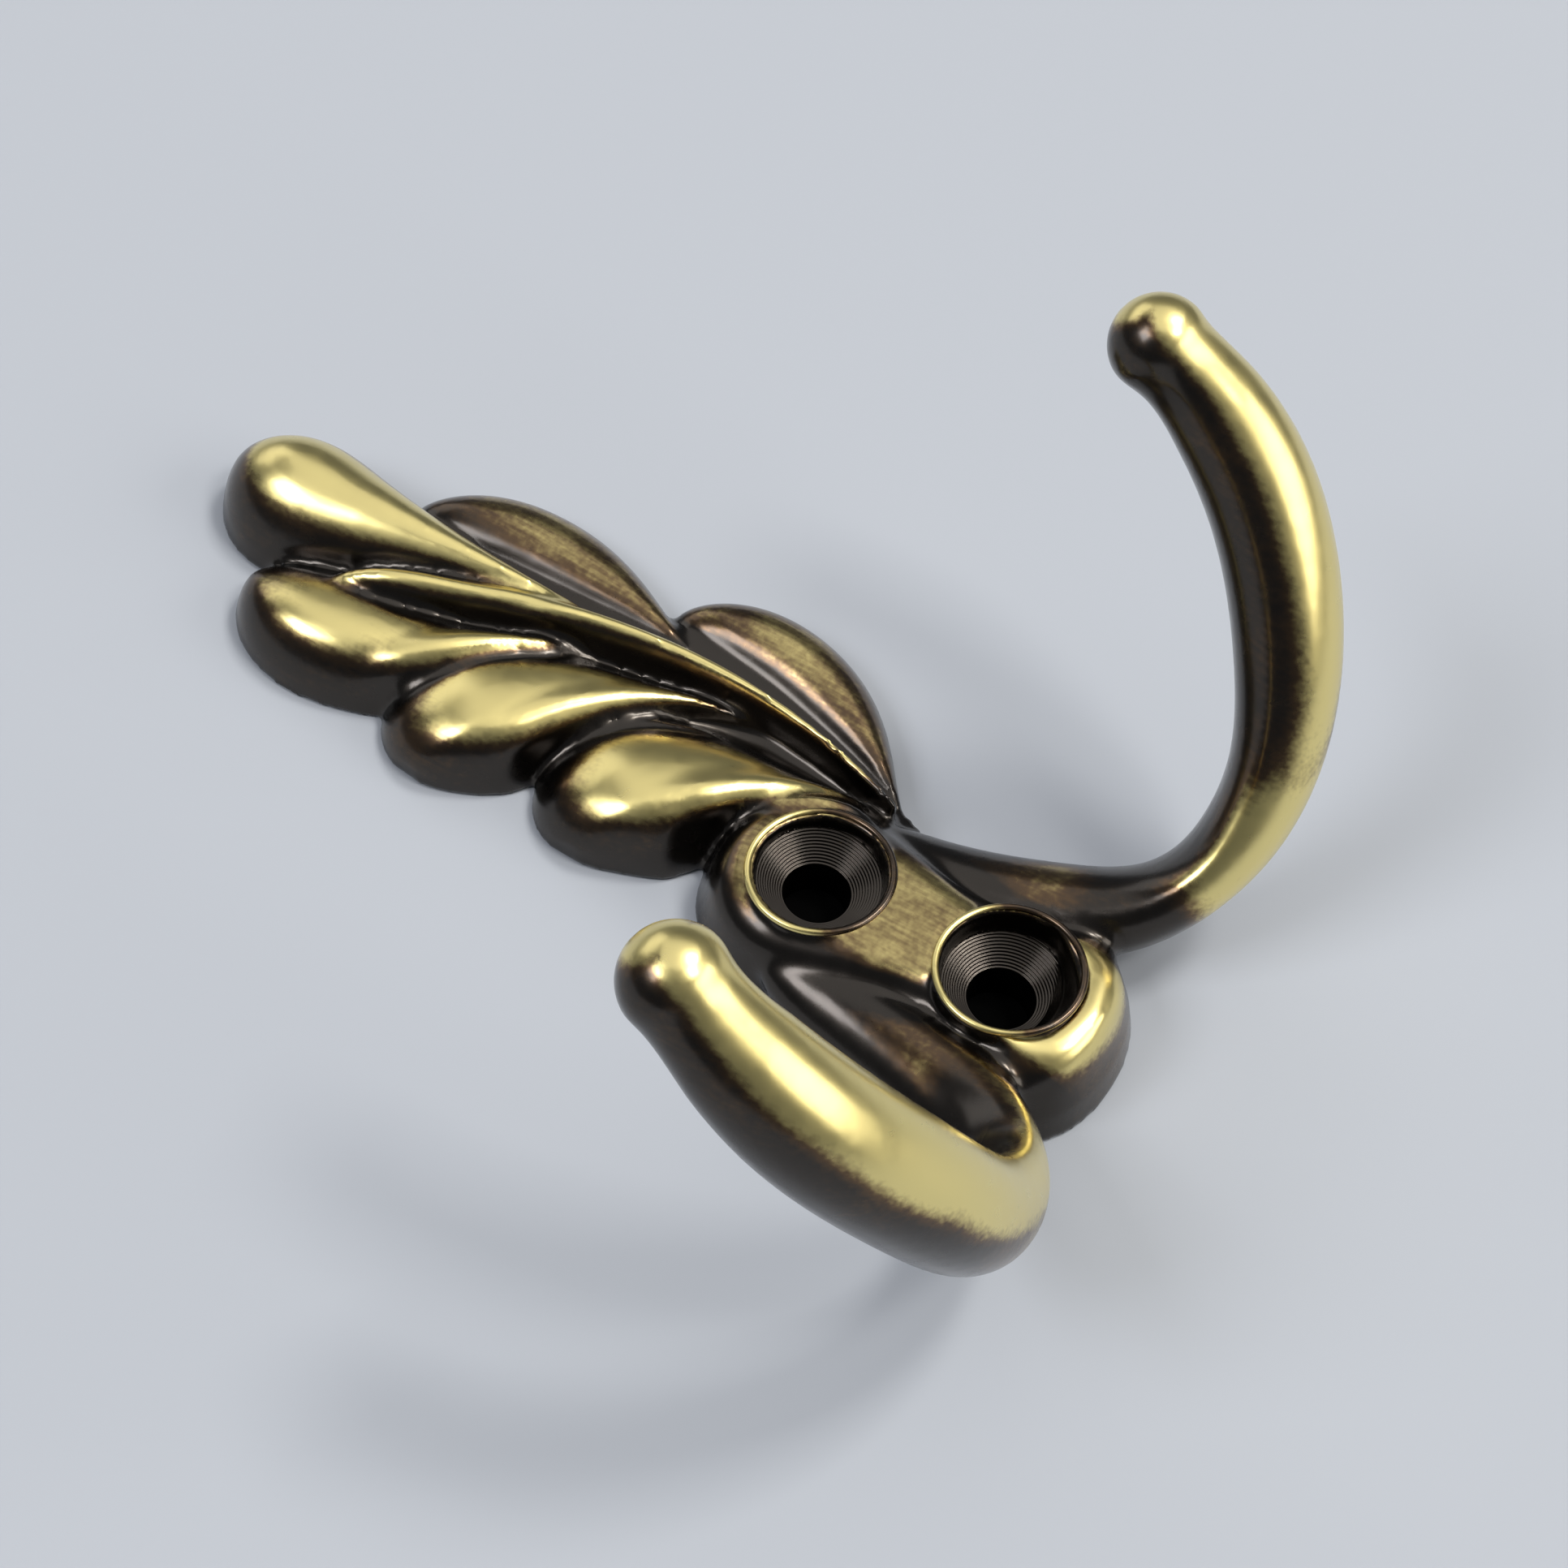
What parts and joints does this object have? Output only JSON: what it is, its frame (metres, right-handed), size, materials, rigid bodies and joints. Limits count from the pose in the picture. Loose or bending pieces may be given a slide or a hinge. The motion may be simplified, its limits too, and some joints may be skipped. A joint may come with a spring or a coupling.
{
  "type": "double coat hook",
  "caption": "Cast wall hook with a curled leaf back plate, a body with countersunk screw holes and splayed ball-tipped prongs for hanging coats, bags or robes.",
  "frame": {"origin": "on the flat back, midway between the screw holes", "axes": "+Z out of the wall, +Y up towards the leaf's tip, +X across the prongs"},
  "size_m": [0.056, 0.0703, 0.0341],
  "materials": {
    "antique_brass": "antique: brown-black patina rubbed back to bright brass on the raised parts"
  },
  "bodies": {
    "root": {"hook_casting": "antique_brass"}
  },
  "joints": []
}
